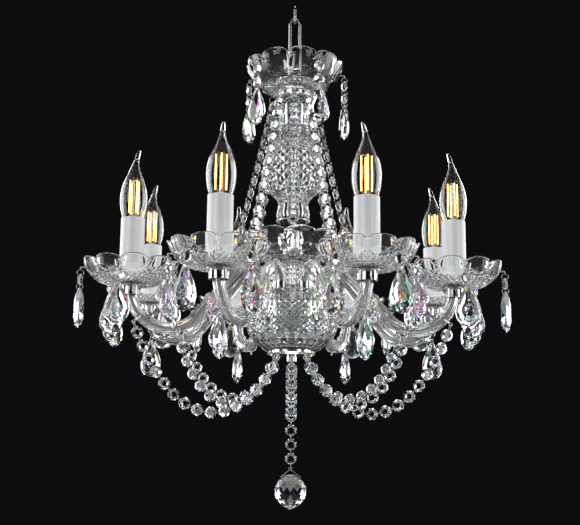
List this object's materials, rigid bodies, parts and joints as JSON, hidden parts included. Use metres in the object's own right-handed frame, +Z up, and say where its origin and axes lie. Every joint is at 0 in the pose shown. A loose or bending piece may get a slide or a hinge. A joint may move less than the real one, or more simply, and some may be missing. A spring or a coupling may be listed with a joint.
{
  "type": "crystal chandelier",
  "caption": "Cut-glass chandelier: scalloped dishes on a glass column, curved glass arms with bent-tip candle lamps, drop pendants, bead swags and a faceted ball, on a wire bail.",
  "frame": {"origin": "the inner top of the hanging link, where a ceiling hook or chain carries it", "axes": "+Z up along the column, +X to the right as seen from the lamp's front, the front faces -Y"},
  "size_m": [0.5276, 0.5225, 0.6745],
  "materials": {
    "crystal": "cut and polished",
    "bulb_glass": "clear",
    "chrome_metal": "polished",
    "lamp_metal": "bright",
    "candle_white": "satin",
    "holder_plastic": "matt",
    "wire_insulation": "matt"
  },
  "bodies": {
    "link": {"hanging_link": "chrome_metal"},
    "bail": {"hanging_bail": "chrome_metal"},
    "lamp_frame": {"arm_1": "crystal", "arm_2": "crystal", "arm_3": "crystal", "arm_4": "crystal", "arm_5": "crystal", "arm_6": "crystal", "arm_7": "crystal", "arm_8": "crystal", "arm_fittings": "chrome_metal", "arm_hub": "chrome_metal", "ball_body": "crystal", "bottom_bowl": "crystal", "bottom_plate": "chrome_metal", "candle_sleeves": "candle_white", "central_dish": "crystal", "centre_tube": "chrome_metal", "column_collars": "chrome_metal", "column_strands": "crystal", "drip_pan_1": "crystal", "drip_pan_2": "crystal", "drip_pan_3": "crystal", "drip_pan_4": "crystal", "drip_pan_5": "crystal", "drip_pan_6": "crystal", "drip_pan_7": "crystal", "drip_pan_8": "crystal", "hanging_pendants": "crystal", "hub_neck": "crystal", "lamp_holders": "holder_plastic", "lamp_wires": "wire_insulation", "lower_neck": "crystal", "swag_strands": "crystal", "top_dish": "crystal", "top_nut": "chrome_metal", "vase_neck": "crystal"},
    "bulb_1": {"bulb_1_base": "lamp_metal", "bulb_1_glass": "bulb_glass"},
    "bulb_2": {"bulb_2_base": "lamp_metal", "bulb_2_glass": "bulb_glass"},
    "bulb_3": {"bulb_3_base": "lamp_metal", "bulb_3_glass": "bulb_glass"},
    "bulb_4": {"bulb_4_base": "lamp_metal", "bulb_4_glass": "bulb_glass"},
    "bulb_5": {"bulb_5_base": "lamp_metal", "bulb_5_glass": "bulb_glass"},
    "bulb_6": {"bulb_6_base": "lamp_metal", "bulb_6_glass": "bulb_glass"},
    "bulb_7": {"bulb_7_base": "lamp_metal", "bulb_7_glass": "bulb_glass"},
    "bulb_8": {"bulb_8_base": "lamp_metal", "bulb_8_glass": "bulb_glass"},
    "pendant_1": {"top_pendant_1": "crystal"},
    "pendant_2": {"top_pendant_2": "crystal"},
    "pendant_3": {"top_pendant_3": "crystal"},
    "pendant_4": {"top_pendant_4": "crystal"},
    "pendant_5": {"top_pendant_5": "crystal"},
    "bottom_drop": {"drop_strand": "crystal"},
    "ball": {"crystal_ball": "crystal"}
  },
  "joints": [
    {"name": "bail_swing", "type": "hinge", "parent": "link", "child": "bail", "pos_m": [0, 0, -0.02075], "axis": [0, 1, 0], "range_deg": [-30, 30]},
    {"name": "frame_swing", "type": "hinge", "parent": "bail", "child": "lamp_frame", "pos_m": [0, 0, -0.09845], "axis": [1, 0, 0], "range_deg": [-70, 70]},
    {"name": "bulb_1_screw", "type": "hinge", "parent": "lamp_frame", "child": "bulb_1", "pos_m": [-0.08189, -0.19771, -0.3193], "axis": [0, 0, 1], "range_deg": [0, 900]},
    {"name": "bulb_2_screw", "type": "hinge", "parent": "lamp_frame", "child": "bulb_2", "pos_m": [0.08189, -0.19771, -0.3193], "axis": [0, 0, 1], "range_deg": [0, 900]},
    {"name": "bulb_3_screw", "type": "hinge", "parent": "lamp_frame", "child": "bulb_3", "pos_m": [0.19771, -0.08189, -0.3193], "axis": [0, 0, 1], "range_deg": [0, 900]},
    {"name": "bulb_4_screw", "type": "hinge", "parent": "lamp_frame", "child": "bulb_4", "pos_m": [0.19771, 0.08189, -0.3193], "axis": [0, 0, 1], "range_deg": [0, 900]},
    {"name": "bulb_5_screw", "type": "hinge", "parent": "lamp_frame", "child": "bulb_5", "pos_m": [0.08189, 0.19771, -0.3193], "axis": [0, 0, 1], "range_deg": [0, 900]},
    {"name": "bulb_6_screw", "type": "hinge", "parent": "lamp_frame", "child": "bulb_6", "pos_m": [-0.08189, 0.19771, -0.3193], "axis": [0, 0, 1], "range_deg": [0, 900]},
    {"name": "bulb_7_screw", "type": "hinge", "parent": "lamp_frame", "child": "bulb_7", "pos_m": [-0.19771, 0.08189, -0.3193], "axis": [0, 0, 1], "range_deg": [0, 900]},
    {"name": "bulb_8_screw", "type": "hinge", "parent": "lamp_frame", "child": "bulb_8", "pos_m": [-0.19771, -0.08189, -0.3193], "axis": [0, 0, 1], "range_deg": [0, 900]},
    {"name": "pendant_1_swing", "type": "hinge", "parent": "lamp_frame", "child": "pendant_1", "pos_m": [0.03201, -0.06176, -0.09465], "axis": [0.4602, -0.8878, 0], "range_deg": [-30, 30]},
    {"name": "pendant_2_swing", "type": "hinge", "parent": "lamp_frame", "child": "pendant_2", "pos_m": [0.06863, 0.01136, -0.09465], "axis": [0.9866, 0.1633, 0], "range_deg": [-30, 30]},
    {"name": "pendant_3_swing", "type": "hinge", "parent": "lamp_frame", "child": "pendant_3", "pos_m": [0.0104, 0.06878, -0.09465], "axis": [0.1495, 0.9888, 0], "range_deg": [-30, 30]},
    {"name": "pendant_4_swing", "type": "hinge", "parent": "lamp_frame", "child": "pendant_4", "pos_m": [-0.0622, 0.03115, -0.09465], "axis": [-0.8942, 0.4478, 0], "range_deg": [-30, 30]},
    {"name": "pendant_5_swing", "type": "hinge", "parent": "lamp_frame", "child": "pendant_5", "pos_m": [-0.04884, -0.04953, -0.09465], "axis": [-0.7022, -0.712, 0], "range_deg": [-30, 30]},
    {"name": "drop_swing", "type": "hinge", "parent": "lamp_frame", "child": "bottom_drop", "pos_m": [0, 0, -0.48925], "axis": [0, 1, 0], "range_deg": [-15, 15]},
    {"name": "ball_swing", "type": "hinge", "parent": "bottom_drop", "child": "ball", "pos_m": [0, 0, -0.6313], "axis": [1, 0, 0], "range_deg": [-40, 40]}
  ]
}
